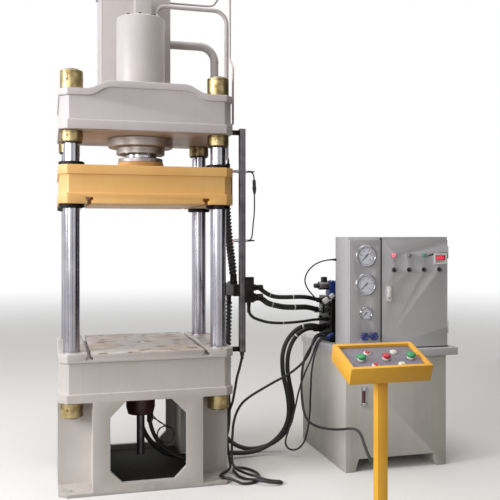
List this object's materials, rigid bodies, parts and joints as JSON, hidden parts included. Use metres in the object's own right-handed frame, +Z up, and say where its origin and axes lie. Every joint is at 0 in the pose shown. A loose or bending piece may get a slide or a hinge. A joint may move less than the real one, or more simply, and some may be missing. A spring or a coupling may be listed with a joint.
{
  "type": "hydraulic press",
  "caption": "Four-column hydraulic press with a sliding beam, table, top cylinder and filling tank, joined by hoses to a power unit with a control cabinet and to a button pedestal.",
  "frame": {"origin": "on the press axis at floor level, under the middle of the table", "axes": "+X to the operator's right, towards the power unit; +Y away from the operator; +Z up"},
  "size_m": [2.479, 2.258, 3.1483],
  "materials": {
    "machine_paint": "semi-gloss off-white enamel",
    "slide_paint": "semi-gloss golden yellow enamel",
    "pedestal_paint": "bright yellow powder coat",
    "unit_paint": "pale grey powder coat",
    "ejector_paint": "dark oxide red primer",
    "column_chrome": "ground hard chrome",
    "bright_chrome": "polished chrome",
    "turned_steel": "oiled turned steel",
    "blackened_steel": "blackened steel",
    "plate_grey": "satin grey",
    "black_plastic": "moulded",
    "blue_plastic": "moulded",
    "green_plastic": "moulded",
    "red_plastic": "moulded",
    "cream_plastic": "moulded",
    "hose_rubber": "smooth black"
  },
  "bodies": {
    "machine": {"base_frame": "machine_paint", "crown_beam": "machine_paint", "column_front_left": "column_chrome", "column_front_right": "column_chrome", "column_rear_left": "column_chrome", "column_rear_right": "column_chrome", "main_cylinder": "machine_paint", "cylinder_ring_nut": "turned_steel", "cylinder_gland": "turned_steel", "filling_tank": "machine_paint", "filling_valve": "unit_paint", "return_pipe": "machine_paint", "pressure_pipe": "unit_paint", "leak_off_pipe": "turned_steel", "ejector_cylinder": "ejector_paint", "switch_post": "turned_steel", "oil_tank": "unit_paint", "tank_lid": "unit_paint", "cabinet_shell": "unit_paint", "contact_gauge": "bright_chrome", "system_gauge": "bright_chrome", "pilot_gauge": "bright_chrome", "pump_motor": "unit_paint", "valve_manifold": "blackened_steel", "pedestal_stand": "pedestal_paint", "button_tray": "pedestal_paint", "button_plate": "plate_grey", "supply_hose": "hose_rubber", "return_hose": "hose_rubber", "pilot_hose": "hose_rubber", "ejector_return_hose": "hose_rubber", "tank_return_hose": "hose_rubber", "riser_hose": "hose_rubber", "ejector_feed_hose": "hose_rubber", "signal_cable": "hose_rubber", "pedestal_cable": "hose_rubber", "slack_cable": "hose_rubber", "sensor_cable": "hose_rubber"},
    "slide": {"slide_beam": "slide_paint", "ram": "column_chrome", "ram_flange": "turned_steel"},
    "ejector": {"ejector_rod": "blackened_steel"},
    "door": {"cabinet_door": "unit_paint"},
    "lock": {"door_lock": "bright_chrome"},
    "selector_a": {"selector_1": "black_plastic"},
    "selector_b": {"selector_2": "black_plastic"},
    "selector_c": {"selector_3": "black_plastic"},
    "selector_d": {"selector_4": "black_plastic"},
    "knob_left": {"gauge_knob_left": "blue_plastic"},
    "knob_right": {"gauge_knob_right": "blue_plastic"},
    "pointer_contact": {"contact_pointer": "black_plastic"},
    "pointer_system": {"system_pointer": "black_plastic"},
    "pointer_pilot": {"pilot_pointer": "black_plastic"},
    "palm_left": {"palm_button_left": "green_plastic"},
    "palm_right": {"palm_button_right": "green_plastic"},
    "stop": {"emergency_stop": "red_plastic"},
    "button_rear_left": {"rear_button_left": "red_plastic"},
    "button_rear_right": {"rear_button_right": "cream_plastic"},
    "button_front_left": {"front_button_left": "red_plastic"},
    "button_front_right": {"front_button_right": "cream_plastic"}
  },
  "joints": [
    {"name": "slide_travel", "type": "slide", "parent": "machine", "child": "slide", "axis": [0, 0, 1], "range_m": [-0.5, 0.02]},
    {"name": "ejector_travel", "type": "slide", "parent": "machine", "child": "ejector", "axis": [0, 0, 1], "range_m": [0, 0.15]},
    {"name": "door_swing", "type": "hinge", "parent": "machine", "child": "door", "pos_m": [1.928, -0.385, 1.1], "axis": [0, 0, 1], "range_deg": [0, 110]},
    {"name": "lock_turn", "type": "hinge", "parent": "door", "child": "lock", "pos_m": [1.51, -0.385, 1.0756], "axis": [0, 1, 0], "range_deg": [0, 90]},
    {"name": "selector_a_turn", "type": "hinge", "parent": "door", "child": "selector_a", "pos_m": [1.548, -0.385, 1.2506], "axis": [0, 1, 0], "range_deg": [-45, 45]},
    {"name": "selector_b_turn", "type": "hinge", "parent": "door", "child": "selector_b", "pos_m": [1.652, -0.385, 1.2506], "axis": [0, 1, 0], "range_deg": [-45, 45]},
    {"name": "selector_c_turn", "type": "hinge", "parent": "door", "child": "selector_c", "pos_m": [1.755, -0.385, 1.2506], "axis": [0, 1, 0], "range_deg": [-45, 45]},
    {"name": "selector_d_turn", "type": "hinge", "parent": "door", "child": "selector_d", "pos_m": [1.864, -0.385, 1.2506], "axis": [0, 1, 0], "range_deg": [-45, 45]},
    {"name": "knob_left_turn", "type": "hinge", "parent": "machine", "child": "knob_left", "pos_m": [1.339, -0.385, 0.8396], "axis": [0, 1, 0], "range_deg": [-270, 270]},
    {"name": "knob_right_turn", "type": "hinge", "parent": "machine", "child": "knob_right", "pos_m": [1.4, -0.385, 0.8396], "axis": [0, 1, 0], "range_deg": [-270, 270]},
    {"name": "contact_pointer_sweep", "type": "hinge", "parent": "machine", "child": "pointer_contact", "pos_m": [1.355, -0.385, 1.3396], "axis": [0, 1, 0], "range_deg": [0, 270], "stiffness_Nm_per_rad": 0.002, "springref_deg": -28.65},
    {"name": "system_pointer_sweep", "type": "hinge", "parent": "machine", "child": "pointer_system", "pos_m": [1.353, -0.385, 1.1616], "axis": [0, 1, 0], "range_deg": [0, 270], "stiffness_Nm_per_rad": 0.002, "springref_deg": -28.65},
    {"name": "pilot_pointer_sweep", "type": "hinge", "parent": "machine", "child": "pointer_pilot", "pos_m": [1.353, -0.385, 0.9826], "axis": [0, 1, 0], "range_deg": [0, 270], "stiffness_Nm_per_rad": 0.002, "springref_deg": -28.65},
    {"name": "palm_left_press", "type": "slide", "parent": "machine", "child": "palm_left", "axis": [0, 0.3289, -0.9444], "range_m": [0, 0.005], "stiffness_N_per_m": 600, "springref_m": -0.004},
    {"name": "palm_right_press", "type": "slide", "parent": "machine", "child": "palm_right", "axis": [0, 0.3289, -0.9444], "range_m": [0, 0.005], "stiffness_N_per_m": 600, "springref_m": -0.004},
    {"name": "stop_press", "type": "slide", "parent": "machine", "child": "stop", "axis": [0, 0.3289, -0.9444], "range_m": [0, 0.005]},
    {"name": "rear_left_press", "type": "slide", "parent": "machine", "child": "button_rear_left", "axis": [0, 0.3289, -0.9444], "range_m": [0, 0.004], "stiffness_N_per_m": 600, "springref_m": -0.004},
    {"name": "rear_right_press", "type": "slide", "parent": "machine", "child": "button_rear_right", "axis": [0, 0.3289, -0.9444], "range_m": [0, 0.004], "stiffness_N_per_m": 600, "springref_m": -0.004},
    {"name": "front_left_press", "type": "slide", "parent": "machine", "child": "button_front_left", "axis": [0, 0.3289, -0.9444], "range_m": [0, 0.004], "stiffness_N_per_m": 600, "springref_m": -0.004},
    {"name": "front_right_press", "type": "slide", "parent": "machine", "child": "button_front_right", "axis": [0, 0.3289, -0.9444], "range_m": [0, 0.004], "stiffness_N_per_m": 600, "springref_m": -0.004}
  ]
}
